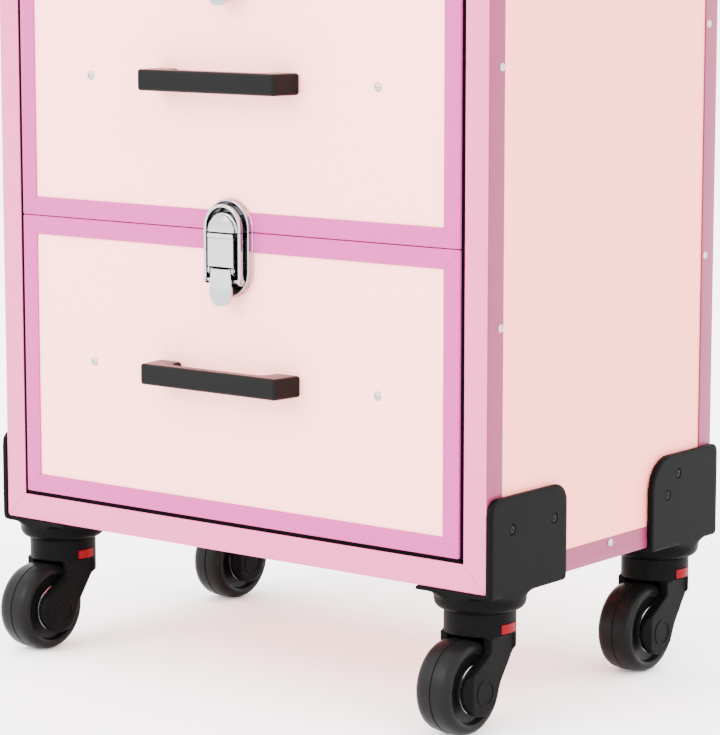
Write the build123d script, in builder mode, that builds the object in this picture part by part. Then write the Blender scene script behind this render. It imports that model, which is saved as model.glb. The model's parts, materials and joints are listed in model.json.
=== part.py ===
from build123d import *
import os

os.makedirs("parts", exist_ok=True)

# Spa trolley: a wheeled case with two latched drawers, a lidded tray and a pull handle.
# Millimetres. +X is the trolley's right as seen from the front, +Y its back, +Z up.
# The origin is on the floor, under the middle of the overall box.

# ---- driving dimensions ----
WIDTH = 360.0  # case, side face to side face
DEPTH = 228.0  # case, front face to rear face
CASTER_HEIGHT = 80.0  # floor to the underside of the case
FRAME_BAR = 15.4  # face width of the case's front frame
REAR_BAR = 13.0  # face width of the rear frame
SKIN = 1.0  # wall of the aluminium edge profiles
FACE_SKIN = 1.5  # front wall of the frame profiles
FRAME_DEPTH = 14.3  # side wall of the front frame, front to back
BOARD = 6.0  # panel thickness
FRONT_GAP = 2.6  # gap between the frame and the drawer fronts
SEAM = 1.0  # gap between one front and the next
DRAWER_HEIGHT = 167.6  # one drawer front
DRAWERS = 2
DRAWER_TRAVEL_CLEAR = 10.0  # drawer box to rear panel
APRON_HEIGHT = 112.0  # fixed front of the lidded tray
LID_HEIGHT = 38.0
LID_SEAM = 0.6
LID_BACK_GAP = 0.5  # lid to rear frame
TRIM_BAR = 11.0  # face width of the trim round each front
TRIM_PROUD = 0.9  # how far the trim stands out of the case's front face
TRIM_SKIN = 1.2  # wall of the trim
TRIM_DEPTH = 8.0  # trim face to the rear face of the front board
MITRE_GAP = 0.15
FIT = 0.05  # radial running clearance of a pin in its hole

PULL_OUT = 20.0  # how far the bar pulls stand out
REAR_OUT = 22.0  # how far the telescopic handle stands out behind

WHEEL_RADIUS = 26.0
WHEEL_WIDTH = 22.0
TRAIL = 20.0  # swivel axis to wheel axle
SWIVEL_INSET_X = 22.0
SWIVEL_INSET_Y = 25.0

LATCH_X = 1.5  # the latches sit a little right of the middle

# ---- derived places ----
FRONT_OUT = max(PULL_OUT, TRAIL + WHEEL_RADIUS - SWIVEL_INSET_Y)
FRONT = FRONT_OUT - (DEPTH + FRONT_OUT + REAR_OUT) / 2
REAR = FRONT + DEPTH
SIDE = WIDTH / 2
BOTTOM = CASTER_HEIGHT
TRIM_FACE = FRONT - TRIM_PROUD
FRONT_WIDTH = WIDTH - 2 * (FRAME_BAR + FRONT_GAP)
DRAWER_PITCH = DRAWER_HEIGHT + SEAM
FIRST_FRONT = BOTTOM + FRAME_BAR + FRONT_GAP
APRON_LOW = FIRST_FRONT + DRAWERS * DRAWER_PITCH
CASE_TOP = APRON_LOW + APRON_HEIGHT + FRONT_GAP + FRAME_BAR
LID_LOW = CASE_TOP + LID_SEAM
TOP = LID_LOW + LID_HEIGHT - LID_SEAM
PANEL_FACE = TRIM_FACE + TRIM_SKIN
FRONT_BACK = TRIM_FACE + TRIM_DEPTH
SIDE_INNER = SIDE - SKIN - BOARD
LID_REAR = REAR - REAR_BAR - LID_BACK_GAP


def facing_front(y):
    """A plane whose X is the trolley's X, whose Y is up and which faces the front."""
    return Plane(origin=(0, y, 0), x_dir=(1, 0, 0), z_dir=(0, -1, 0))


def facing_side(x):
    """A plane whose X runs to the back, whose Y is up and which faces the right."""
    return Plane(origin=(x, 0, 0), x_dir=(0, 1, 0), z_dir=(1, 0, 0))


def slab(low, high, mode=Mode.ADD):
    """A box between two corners, in the part that is being built."""
    size = [abs(b - a) for a, b in zip(low, high)]
    with Locations(tuple((a + b) / 2 for a, b in zip(low, high))):
        Box(*size, mode=mode)


def save(solid, name):
    solid.label = name
    export_step(solid, f"parts/{name}.step")


def mitred_frame(plane, width, height, legs):
    """Four mitred profiles round a rectangle: legs are (bar, depth), in from its edge and down."""
    with BuildPart() as ring:
        for bar, depth in legs:
            with BuildSketch(plane):
                Rectangle(width, height)
                Rectangle(width - 2 * bar, height - 2 * bar, mode=Mode.SUBTRACT)
                for sx in (-1, 1):
                    for sy in (-1, 1):
                        with Locations((sx * (width - bar) / 2, sy * (height - bar) / 2)):
                            Rectangle(3 * bar, MITRE_GAP, rotation=45 * sx * sy, mode=Mode.SUBTRACT)
            extrude(amount=-depth)
    return ring.part


# ---- case ----
def side_panel(side):
    with BuildPart() as panel:
        slab(
            (side * SIDE_INNER, FRONT + FACE_SKIN, BOTTOM + SKIN),
            (side * (SIDE - SKIN), REAR - FACE_SKIN, CASE_TOP - SKIN),
        )
    return panel.part


for side, where in ((-1, "left"), (1, "right")):
    save(side_panel(side), f"{where}_side_panel")

REAR_PANEL_FRONT = REAR - FACE_SKIN - BOARD
with BuildPart() as rear_panel:
    slab((-SIDE_INNER, REAR_PANEL_FRONT, BOTTOM + SKIN), (SIDE_INNER, REAR - FACE_SKIN, TOP - SKIN))
save(rear_panel.part, "rear_panel")

with BuildPart() as bottom_panel:
    slab(
        (-SIDE_INNER, FRONT + FACE_SKIN, BOTTOM + SKIN),
        (SIDE_INNER, REAR_PANEL_FRONT, BOTTOM + SKIN + BOARD),
    )
save(bottom_panel.part, "bottom_panel")

TRAY_FLOOR = APRON_LOW + 2
TRAY_BOARD = 5.0
APRON_BACKER = 4.0
with BuildPart() as tray_floor:
    slab(
        (-SIDE_INNER, FRONT_BACK + APRON_BACKER, TRAY_FLOOR),
        (SIDE_INNER, REAR_PANEL_FRONT, TRAY_FLOOR + TRAY_BOARD),
    )
save(tray_floor.part, "tray_floor")

CASE_HEIGHT = CASE_TOP - BOTTOM
front_plane = facing_front(FRONT).shift_origin((0, FRONT, BOTTOM + CASE_HEIGHT / 2))
front_frame = mitred_frame(front_plane, WIDTH, CASE_HEIGHT, ((FRAME_BAR, FACE_SKIN), (SKIN, FRAME_DEPTH)))
save(front_frame, "front_frame")

REAR_HEIGHT = TOP - BOTTOM
rear_plane = Plane(origin=(0, REAR, BOTTOM + REAR_HEIGHT / 2), x_dir=(-1, 0, 0), z_dir=(0, 1, 0))
rear_frame = mitred_frame(rear_plane, WIDTH, REAR_HEIGHT, ((REAR_BAR, FACE_SKIN), (SKIN, REAR_BAR)))
save(rear_frame, "rear_frame")

RAIL_BAR = 12.6
RAIL_END = 0.2
with BuildPart() as side_rails:
    for side in (-1, 1):
        for edge, inward in ((BOTTOM, 1), (CASE_TOP, -1)):
            y0, y1 = FRONT + FRAME_DEPTH + RAIL_END, REAR - REAR_BAR - RAIL_END
            slab((side * SIDE, y0, edge), (side * (SIDE - SKIN), y1, edge + inward * RAIL_BAR))
            slab((side * SIDE, y0, edge), (side * (SIDE - RAIL_BAR), y1, edge + inward * SKIN))
save(side_rails.part, "side_rails")


# ---- rivets on the edge profiles ----
DOME_EDGE = 0.25  # height of a head's straight rim, as a share of its whole height


def dome(plane, radius, height):
    """A low domed head that stands on a plane, at its origin."""
    with BuildPart() as head:
        with BuildSketch(Plane(origin=plane.origin, x_dir=plane.x_dir, z_dir=-plane.y_dir)):
            with BuildLine():
                Polyline((0, height), (0, 0), (radius, 0), (radius, DOME_EDGE * height))
                TangentArc((0, height), (radius, DOME_EDGE * height), tangent=(1, 0))
            make_face()
        revolve(axis=Axis(plane.origin, plane.z_dir))
    return head.part


RIVET_RADIUS = 2.3
RIVET_HEIGHT = 1.1
FRONT_RIVETS = (144.0, 283.0, 420.0)  # above the case's underside
REAR_RIVETS = (165.5, 300.5, 435.0)
FRONT_RIVET_INSET = 11.9
REAR_RIVET_INSET = 9.9
RAIL_RIVET_BACK = 121.0  # behind the front face
RAIL_RIVET_INSET = 9.6
rivets = []
for side in (-1, 1):
    places = [(FRONT + FRONT_RIVET_INSET, z) for z in FRONT_RIVETS]
    places += [(REAR - REAR_RIVET_INSET, z) for z in REAR_RIVETS]
    places += [(FRONT + RAIL_RIVET_BACK, z) for z in (RAIL_RIVET_INSET, CASE_HEIGHT - RAIL_RIVET_INSET)]
    for y, z in places:
        spot = Plane(origin=(side * SIDE, y, BOTTOM + z), x_dir=(0, side, 0), z_dir=(side, 0, 0))
        rivets.append(dome(spot, RIVET_RADIUS, RIVET_HEIGHT))
save(Compound(children=rivets), "frame_rivets")


# ---- fronts ----
def front_centre(low, height):
    return facing_front(TRIM_FACE).shift_origin((0, TRIM_FACE, low + height / 2))


def front_board(low, height):
    with BuildPart() as board:
        edge = FRONT_WIDTH / 2 - TRIM_SKIN
        slab((-edge, PANEL_FACE, low + TRIM_SKIN), (edge, FRONT_BACK, low + height - TRIM_SKIN))
    return board.part


def front_trim(low, height):
    legs = ((TRIM_BAR, TRIM_SKIN), (TRIM_SKIN, TRIM_DEPTH))
    return mitred_frame(front_centre(low, height), FRONT_WIDTH, height, legs)


save(front_trim(APRON_LOW, APRON_HEIGHT), "apron_trim")
with BuildPart() as apron_panel:
    add(front_board(APRON_LOW, APRON_HEIGHT))
    slab((-SIDE_INNER, FRONT_BACK, TRAY_FLOOR), (SIDE_INNER, FRONT_BACK + APRON_BACKER, CASE_TOP - SKIN))
save(apron_panel.part, "apron_panel")

# ---- drawers ----
BOX_HALF = 154.0
BOX_WALL = 5.0
BOX_FLOOR = 4.0
BOX_LIFT = 6.0  # box bottom above the front's bottom edge
BOX_DROP = 20.0  # box top below the front's top edge
BOX_BACK = REAR_PANEL_FRONT - DRAWER_TRAVEL_CLEAR
RUNNER_LENGTH = 200.0
RUNNER_FRONT = FRONT_BACK + 6
RUNNER_SKIN = 1.2
RUNNER_HALF = 15.8  # half height of the drawer member
RUNNER_PLAY = 1.0
HANDLE_LENGTH = 97.0
HANDLE_FOOT_SPAN = 102.0
HANDLE_HEIGHT = 10.4
PULL_EDGE = 1.2
HANDLE_BAR = 8.5
HANDLE_FOOT = 17.0
SCREW_X = 106.0
HANDLE_SCREW_X = 42.0
HANDLE_FLARE = 3.0  # how much a foot is narrower at the bar
RUNNER_DROP = 30.0  # runners below the middle of the front
DRAWER_RUNNER_REACH = 9.0
CASE_RUNNER_REACH = 3.0


def drawer_box(low):
    with BuildPart() as box:
        z0, z1 = low + BOX_LIFT, low + DRAWER_HEIGHT - BOX_DROP
        slab((-BOX_HALF, FRONT_BACK, z0), (BOX_HALF, BOX_BACK, z1))
        slab(
            (-BOX_HALF + BOX_WALL, FRONT_BACK + BOX_WALL, z0 + BOX_FLOOR),
            (BOX_HALF - BOX_WALL, BOX_BACK - BOX_WALL, z1),
            mode=Mode.SUBTRACT,
        )
    return box.part


def channels(web, toe, half_height, middle):
    """A pair of C channels, one on each side, with their webs at x = web and toes at x = toe."""
    step = RUNNER_SKIN if toe > web else -RUNNER_SKIN
    y0, y1 = RUNNER_FRONT, RUNNER_FRONT + RUNNER_LENGTH
    with BuildPart() as pair:
        for side in (-1, 1):
            slab((side * web, y0, middle - half_height), (side * (web + step), y1, middle + half_height))
            for edge in (-1, 1):
                z = middle + edge * half_height
                slab((side * web, y0, z), (side * toe, y1, z - edge * RUNNER_SKIN))
    return pair.part


def bar_pull(middle):
    """A square bar pull: two feet that widen towards the front board, and a straight bar."""
    with BuildPart() as pull:
        with BuildSketch(Plane.XY.offset(middle - HANDLE_HEIGHT / 2)):
            with BuildLine():
                bar, foot = HANDLE_LENGTH / 2, HANDLE_FOOT_SPAN / 2
                bar_inside, foot_inside = bar - HANDLE_FOOT + HANDLE_FLARE, foot - HANDLE_FOOT
                front, inner, back = FRONT - PULL_OUT, FRONT - PULL_OUT + HANDLE_BAR, PANEL_FACE
                Polyline(
                    (-foot, back), (-bar, front), (bar, front), (foot, back), (foot_inside, back),
                    (bar_inside, inner), (-bar_inside, inner), (-foot_inside, back), (-foot, back),
                )
            make_face()
        extrude(amount=HANDLE_HEIGHT)
        fillet(pull.edges().group_by(Axis.Y)[0], PULL_EDGE)
    return pull.part


FRONT_SCREW_HEAD = (2.6, 1.4)  # radius and height
PULL_SCREW_HEAD = (3.5, 2.0)


def drawer_screws(middle):
    """Two domed heads on the front board and the heads of the pull's two screws inside the box."""
    heads = []
    for side in (-1, 1):
        outside = Plane(origin=(side * SCREW_X, PANEL_FACE, middle), x_dir=(1, 0, 0), z_dir=(0, -1, 0))
        heads.append(dome(outside, *FRONT_SCREW_HEAD))
        inner = FRONT_BACK + BOX_WALL
        inside = Plane(origin=(side * HANDLE_SCREW_X, inner, middle), x_dir=(-1, 0, 0), z_dir=(0, 1, 0))
        heads.append(dome(inside, *PULL_SCREW_HEAD))
    return Compound(children=heads)


for number in range(1, DRAWERS + 1):
    low = FIRST_FRONT + (number - 1) * DRAWER_PITCH
    middle = low + DRAWER_HEIGHT / 2
    save(front_board(low, DRAWER_HEIGHT), f"drawer_{number}_front")
    save(front_trim(low, DRAWER_HEIGHT), f"drawer_{number}_trim")
    save(drawer_box(low), f"drawer_{number}_box")
    runners = channels(BOX_HALF, BOX_HALF + DRAWER_RUNNER_REACH, RUNNER_HALF, middle - RUNNER_DROP)
    save(runners, f"drawer_{number}_runners")
    save(bar_pull(middle), f"drawer_{number}_pull")
    save(drawer_screws(middle), f"drawer_{number}_screws")

case_runners = [
    channels(
        SIDE_INNER, BOX_HALF + CASE_RUNNER_REACH, RUNNER_HALF + RUNNER_PLAY + RUNNER_SKIN,
        FIRST_FRONT + number * DRAWER_PITCH + DRAWER_HEIGHT / 2 - RUNNER_DROP,
    )
    for number in range(DRAWERS)
]
save(Compound(children=case_runners), "case_runners")

# ---- latches ----
# Each latch joins the front below a seam to the front above it. The lower half is a dish with a
# bridge that carries the lever; the loop hangs on the lever. The upper half is the strike.
LATCH_RADIUS = 16.0  # half width of the oval dish
LATCH_UP = 18.2  # dish above the seam
LATCH_DOWN = 37.5  # dish below the seam
HALF_GAP = 0.15
DISH_FLOOR = 1.0
DISH_RIM = 3.5
DISH_RIM_WALL = 1.1
BAND_RADIUS = 13.4  # outside of the loop and of the strike's band
BAND_WALL = 1.5
BAND_BACK = 4.3
BAND_FRONT = 7.6
BRIDGE_HALF = 9.4
BRIDGE_FRONT = 9.2
BRIDGE_SKIN = 1.2
BRIDGE_TOP_DOWN = 3.3  # upper edge of the bridge below the seam
BRIDGE_LOW_DOWN = 19.7
CHEEK_DOWN = 24.4  # the bridge's cheeks reach past the lever's pin
FULCRUM_DOWN = 21.6  # lever axis below the seam
FULCRUM_OUT = 7.6  # and in front of the trim's face
LOOP_PIVOT_DOWN = 27.5
LOOP_PIVOT_OUT = 6.0
LOOP_BAR_DOWN = 2.7
LEVER_TOP_DOWN = 21.0
LEVER_WIDE_DOWN = 34.5
LEVER_TIP_DOWN = 42.0
LEVER_TOP_HALF = 7.15
LEVER_WIDE_HALF = 8.3
LEVER_SKIN = 1.2
LUG_SKIN = 1.0
LUG_RADIUS = 1.6
FULCRUM_PIN = 1.0
PIVOT_PIN = 1.3
PIVOT_HALF = 15.0  # half length of the pin that carries the loop
LOOP_EYE = 2.2
CATCH_STEPS = ((10.6, 7.0), (9.6, 8.6), (8.6, 9.4))  # radius and depth of each step


def out(depth):
    """The front-facing plane a given depth in front of the trims."""
    return facing_front(TRIM_FACE - depth)


def oval(radius, seam, up, down):
    """The dish's outline about the latch's middle line, as a sketch face in the current sketch."""
    with Locations((LATCH_X, seam + (up - down) / 2)):
        SlotOverall(up + down, 2 * radius, rotation=90)


LATCH_SPAN = 60.0  # wider and taller than half a latch; it trims shapes at the seam
POST_ANGLES = (35, 90, 145)  # round the band
POST_RADIUS = 0.7
POST_BITE = 0.2  # how far a post runs into the band
PAD_RISE = 9.0  # middle of the strike's mounting pad, above the seam
PAD_SIZE = (24.0, 12.0)


def half_dish(seam, above):
    """One half of the oval dish: a thin floor with a raised rim."""
    up, down, radius = LATCH_UP, LATCH_DOWN, LATCH_RADIUS
    keep_low = seam + HALF_GAP if above else seam - LATCH_SPAN
    keep_high = seam + LATCH_SPAN if above else seam - HALF_GAP
    with BuildPart() as dish:
        for depth, wall in ((DISH_FLOOR, 0), (DISH_RIM, DISH_RIM_WALL)):
            with BuildSketch(out(0)):
                oval(radius, seam, up, down)
                if wall:
                    with Locations((LATCH_X, seam + (up - down) / 2)):
                        inside = up + down - 2 * wall, 2 * (radius - wall)
                        SlotOverall(*inside, rotation=90, mode=Mode.SUBTRACT)
                with Locations((LATCH_X, (keep_low + keep_high) / 2)):
                    Rectangle(LATCH_SPAN, keep_high - keep_low, mode=Mode.INTERSECT)
            extrude(amount=depth)
    return dish.part


def latch_base(seam):
    """The lower half: dish, and a bridge whose cheeks hold the lever's pin."""
    top, front = seam - BRIDGE_TOP_DOWN, TRIM_FACE - BRIDGE_FRONT
    with BuildPart() as bridge:
        slab(
            (LATCH_X - BRIDGE_HALF, front, seam - BRIDGE_LOW_DOWN),
            (LATCH_X + BRIDGE_HALF, front + BRIDGE_SKIN, top),
        )
        for side in (-1, 1):
            outer = LATCH_X + side * BRIDGE_HALF
            slab((outer, front, seam - CHEEK_DOWN), (outer - side * BRIDGE_SKIN, TRIM_FACE - DISH_FLOOR, top))
        with Locations(Location((LATCH_X, TRIM_FACE - FULCRUM_OUT, seam - FULCRUM_DOWN), (0, 90, 0))):
            Cylinder(FULCRUM_PIN + FIT, 2 * LATCH_RADIUS, mode=Mode.SUBTRACT)
        add(half_dish(seam, False))
    return bridge.part


def latch_strike(seam, pad=0.0):
    """The upper half: dish, stepped half-round catch and the band that carries on the loop."""
    with BuildPart() as strike:
        add(half_dish(seam, True))
        for radius, front in CATCH_STEPS:
            with BuildSketch(out(0)):
                with Locations((LATCH_X, seam)):
                    Circle(radius)
                with Locations((LATCH_X, seam + HALF_GAP + LATCH_SPAN / 2)):
                    Rectangle(LATCH_SPAN, LATCH_SPAN, mode=Mode.INTERSECT)
            extrude(amount=front)
        with BuildSketch(out(BAND_BACK)):
            with Locations((LATCH_X, seam + LATCH_UP - LATCH_RADIUS)):
                Circle(BAND_RADIUS)
                Circle(BAND_RADIUS - BAND_WALL, mode=Mode.SUBTRACT)
            with Locations((LATCH_X, seam + LATCH_UP - LATCH_RADIUS + LATCH_SPAN / 2)):
                Rectangle(LATCH_SPAN, LATCH_SPAN, mode=Mode.INTERSECT)
            for side in (-1, 1):
                rise = LATCH_UP - LATCH_RADIUS - HALF_GAP
                with Locations((LATCH_X + side * (BAND_RADIUS - BAND_WALL / 2), seam + HALF_GAP + rise / 2)):
                    Rectangle(BAND_WALL, rise)
        extrude(amount=BAND_FRONT - BAND_BACK)
        for angle in POST_ANGLES:
            spot = Vector(BAND_RADIUS - BAND_WALL / 2, 0).rotate(Axis.Z, angle)
            with BuildSketch(out(0)):
                with Locations((LATCH_X + spot.X, seam + LATCH_UP - LATCH_RADIUS + spot.Y)):
                    Circle(POST_RADIUS)
            extrude(amount=BAND_BACK + POST_BITE)
        if pad:
            with BuildSketch(out(0)):
                with Locations((LATCH_X, seam + PAD_RISE)):
                    Rectangle(*PAD_SIZE)
            extrude(amount=-pad)
    return strike.part


def latch_lever(seam):
    """The tab that is pulled up, its two lugs, the pin in the bridge and the pin for the loop."""
    fulcrum_y, fulcrum_z = TRIM_FACE - FULCRUM_OUT, seam - FULCRUM_DOWN
    pivot_y, pivot_z = TRIM_FACE - LOOP_PIVOT_OUT, seam - LOOP_PIVOT_DOWN
    top, wide, tip = seam - LEVER_TOP_DOWN, seam - LEVER_WIDE_DOWN, seam - LEVER_TIP_DOWN
    front = TRIM_FACE - BRIDGE_FRONT
    with BuildPart() as lever:
        with BuildSketch(out(BRIDGE_FRONT)):
            with BuildLine():
                Polyline(
                    (LATCH_X - LEVER_WIDE_HALF, wide), (LATCH_X - LEVER_TOP_HALF, top),
                    (LATCH_X + LEVER_TOP_HALF, top), (LATCH_X + LEVER_WIDE_HALF, wide),
                )
                ThreePointArc(
                    (LATCH_X - LEVER_WIDE_HALF, wide), (LATCH_X, tip), (LATCH_X + LEVER_WIDE_HALF, wide)
                )
            make_face()
        extrude(amount=-LEVER_SKIN)
        for x in (LATCH_X - LEVER_TOP_HALF, LATCH_X + LEVER_TOP_HALF - LUG_SKIN):
            with BuildSketch(facing_side(x)):
                with Locations((fulcrum_y, fulcrum_z)):
                    Circle(LUG_RADIUS)
                with Locations((pivot_y, pivot_z)):
                    Circle(PIVOT_PIN + LUG_SKIN)
                make_hull()
                with BuildLine():
                    Polyline(
                        (front, top), (fulcrum_y, top), (pivot_y, pivot_z - LUG_SKIN),
                        (front, pivot_z - LUG_SKIN), (front, top),
                    )
                make_face()
            extrude(amount=LUG_SKIN)
        with Locations(Location((LATCH_X, fulcrum_y, fulcrum_z), (0, 90, 0))):
            Cylinder(FULCRUM_PIN, 2 * BRIDGE_HALF + LUG_SKIN)
        with Locations(Location((LATCH_X, pivot_y, pivot_z), (0, 90, 0))):
            Cylinder(PIVOT_PIN, 2 * PIVOT_HALF)
    return lever.part


def latch_loop(seam):
    """The draw loop: two legs with eyes on the lever's pin, joined by a bar under the seam."""
    pivot_y, pivot_z = TRIM_FACE - LOOP_PIVOT_OUT, seam - LOOP_PIVOT_DOWN
    inner = BAND_RADIUS - BAND_WALL
    back, front, top = TRIM_FACE - BAND_BACK, TRIM_FACE - BAND_FRONT, seam - HALF_GAP
    with BuildPart() as loop:
        for side in (-1, 1):
            slab((LATCH_X + side * inner, front, pivot_z), (LATCH_X + side * BAND_RADIUS, back, top))
            middle = LATCH_X + side * (inner + BAND_WALL / 2)
            with Locations(Location((middle, pivot_y, pivot_z), (0, 90, 0))):
                Cylinder(LOOP_EYE, BAND_WALL)
                Cylinder(PIVOT_PIN + FIT, BAND_WALL, mode=Mode.SUBTRACT)
        slab((LATCH_X - inner, front, seam - LOOP_BAR_DOWN), (LATCH_X + inner, back, top))
        slab(
            (LATCH_X - BRIDGE_HALF, TRIM_FACE - BRIDGE_FRONT, seam - LOOP_BAR_DOWN),
            (LATCH_X + BRIDGE_HALF, front, top),
        )
    return loop.part


seams = [FIRST_FRONT + (number + 1) * DRAWER_PITCH - SEAM / 2 for number in range(DRAWERS)]
LID_LATCH_SEAM = CASE_TOP + LID_SEAM / 2
save(latch_base(seams[0]), "drawer_1_latch_base")
save(Compound(children=[latch_strike(seams[0]), latch_base(seams[1])]), "drawer_2_latch_plates")
save(Compound(children=[latch_strike(seams[1]), latch_base(LID_LATCH_SEAM)]), "apron_latch_plates")
save(latch_strike(LID_LATCH_SEAM, pad=TRIM_PROUD), "lid_strike")
for number, seam in enumerate([*seams, LID_LATCH_SEAM], start=1):
    save(latch_lever(seam), f"latch_{number}_lever")
    save(latch_loop(seam), f"latch_{number}_loop")

# ---- corner brackets and casters ----
BRACKET_SKIN = 2.3
BRACKET_RISE = 52.6
BRACKET_LENGTH = 72.0
REAR_BRACKET_LENGTH = 69.0
BRACKET_REACH = 62.5  # plate under the case, in from the side face
BRACKET_CORNER = 9.0
REAR_BRACKET_CORNER = 18.0
FRONT_SCREWS = ((19.0, 34.0), (59.0, 34.0))  # behind the front face, and above the underside
REAR_SCREWS = ((41.5, 40.5), (52.5, 29.0))  # in front of the rear face
PLATE = 2.5
PLATE_ROUND = 2.0
BRACKET_SCREW_HEAD = (2.6, 0.8)  # radius and height
REAR_WRAP = 2.5
WRAP_REACH = 30.0
BOSS_RADIUS = 25.7
BOSS_ROUND = 5.0
BORE_DEPTH = 10.0
BOSS_BOTTOM = BOTTOM - 12.5
FORK_TOP = BOSS_BOTTOM - 0.5
FORK_RADIUS = 20.1
SLOT_TOP = 2 * WHEEL_RADIUS + 1.7
SLOT_HALF = 12.0
CHEEK_OUT = 17.5
ARM_FRONT = 13.5  # arm's front and rear edges at the top of the slot
ARM_REAR = 13.0
ARM_END = 14.5  # radius of the arm's lower end
ARM_HEEL = -40  # where the rear and front edges meet the round end, in degrees from the rear
ARM_TOE = 145
ARM_SWEEP = 8.0  # depth below the slot's top at which the front edge starts to sweep forward
SKIRT_BOTTOM = 45.0  # curved skirt that closes the slot behind the wheel
SKIRT_FRONT = 7.0
KING_PIN = 5.0
AXLE = 3.0
AXLE_LENGTH = 2 * CHEEK_OUT - 3
KING_PIN_RISE = 8.0
CORNERS = (("front_left", -1, -1), ("front_right", 1, -1), ("rear_left", -1, 1), ("rear_right", 1, 1))


def swivel_at(side, end):
    """The swivel axis of a corner: side is -1 left or 1 right, end is -1 front or 1 rear."""
    y = FRONT + SWIVEL_INSET_Y if end < 0 else REAR - SWIVEL_INSET_Y
    return side * (SIDE - SWIVEL_INSET_X), y


def corner_bracket(side, end):
    """A moulded corner: a side wall, a plate under the case and the boss over the caster."""
    x, y = swivel_at(side, end)
    y0, y1 = FRONT, FRONT + BRACKET_LENGTH
    inner_end, outer_end = y1, y0
    inner_round, outer_round = BRACKET_CORNER, BRACKET_CORNER
    if end > 0:
        y0, y1 = REAR - REAR_BRACKET_LENGTH, REAR + REAR_WRAP
        inner_end, outer_end = y0, y1
        inner_round, outer_round = REAR_BRACKET_CORNER, 2 * PLATE
    wall, reach = side * (SIDE + BRACKET_SKIN), side * (SIDE - BRACKET_REACH)
    with BuildPart() as bracket:
        with BuildSketch(facing_side(max(wall, side * SIDE))):
            with Locations(((y0 + y1) / 2, BOTTOM + (BRACKET_RISE - PLATE) / 2)):
                Rectangle(y1 - y0, BRACKET_RISE + PLATE)
        extrude(amount=-BRACKET_SKIN)
        across = bracket.edges().filter_by(Axis.X)
        at_inner = across.filter_by_position(Axis.Y, inner_end - FIT, inner_end + FIT).sort_by(Axis.Z)
        at_outer = across.filter_by_position(Axis.Y, outer_end - FIT, outer_end + FIT).sort_by(Axis.Z)
        fillet(at_inner[-1], inner_round)
        fillet(at_outer[-1], outer_round)
        fillet(at_inner[0], PLATE_ROUND)
        with BuildSketch(Plane.XY.offset(BOTTOM - PLATE)):
            with Locations(((wall + reach) / 2, (y0 + y1) / 2)):
                RectangleRounded(abs(wall - reach), y1 - y0, PLATE_ROUND)
        extrude(amount=PLATE)
        if end > 0:
            slab(
                (wall, REAR, BOTTOM - PLATE),
                (side * (SIDE - WRAP_REACH), REAR + REAR_WRAP, BOTTOM + BRACKET_RISE - 2 * PLATE),
            )
        with BuildSketch(Plane.XY.offset(BOSS_BOTTOM)):
            with Locations((x, y)):
                Circle(BOSS_RADIUS)
        extrude(amount=BOTTOM - PLATE - BOSS_BOTTOM)
        fillet(bracket.edges().filter_by(GeomType.CIRCLE).group_by(Axis.Z)[0], BOSS_ROUND)
        with Locations((x, y, BOSS_BOTTOM)):
            Cylinder(KING_PIN + FIT, 2 * BORE_DEPTH, mode=Mode.SUBTRACT)
    return bracket.part


def caster_fork():
    """The swivelling fork with its king pin, and the fixed axle; the swivel axis is Z."""
    axle_at = Location((0, -TRAIL, WHEEL_RADIUS), (0, 90, 0))
    with BuildPart() as fork:
        with BuildSketch(facing_side(-CHEEK_OUT)):
            with BuildLine():
                # the rear edge runs down to the arm's round end, the front edge sweeps forward to it
                end = Vector(-TRAIL, WHEEL_RADIUS)
                heel = end + Vector(ARM_END, 0).rotate(Axis.Z, ARM_HEEL)
                toe = end + Vector(ARM_END, 0).rotate(Axis.Z, ARM_TOE)
                sweep_start = (-ARM_FRONT, SLOT_TOP - ARM_SWEEP)
                Polyline(toe, sweep_start, (-ARM_FRONT, FORK_TOP), (ARM_REAR, FORK_TOP), heel)
                ThreePointArc(heel, (-TRAIL, WHEEL_RADIUS - ARM_END), toe)
            make_face()
        extrude(amount=2 * CHEEK_OUT)
        with BuildSketch():
            with Locations((0, -TRAIL / 2)):
                SlotOverall(TRAIL + 2 * FORK_RADIUS, 2 * FORK_RADIUS, rotation=90)
        extrude(amount=SLOT_TOP, mode=Mode.INTERSECT)
        with BuildSketch(Plane.XY.offset(SLOT_TOP)):
            Circle(FORK_RADIUS)
        extrude(amount=FORK_TOP - SLOT_TOP)
        slab((-SLOT_HALF, -2 * WHEEL_RADIUS, 0), (SLOT_HALF, 2 * WHEEL_RADIUS, SLOT_TOP), mode=Mode.SUBTRACT)
        with BuildSketch(Plane.XY.offset(SKIRT_BOTTOM)):
            Circle(FORK_RADIUS)
            with Locations((0, SKIRT_FRONT - FORK_RADIUS)):
                Rectangle(2 * FORK_RADIUS, 2 * FORK_RADIUS, mode=Mode.SUBTRACT)
        extrude(amount=SLOT_TOP - SKIRT_BOTTOM)
        with BuildSketch(Plane.XY.offset(FORK_TOP)):
            Circle(KING_PIN)
        extrude(amount=KING_PIN_RISE)
        with Locations(axle_at):
            Cylinder(AXLE, AXLE_LENGTH, mode=Mode.SUBTRACT)
    with BuildPart() as axle:
        with Locations(axle_at):
            Cylinder(AXLE, AXLE_LENGTH)
    return Compound(children=[fork.part, axle.part])


WHEEL_DISH = 2.0  # how far the dished sides sink
HUB_EDGES = (8.0, 9.0)  # radius of the hub at its face and at the bottom of the dish
RIM_EDGES = (6.0, 5.0, 2.0)  # in from the tread: bottom of the dish, rim's inner edge, shoulder


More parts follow.
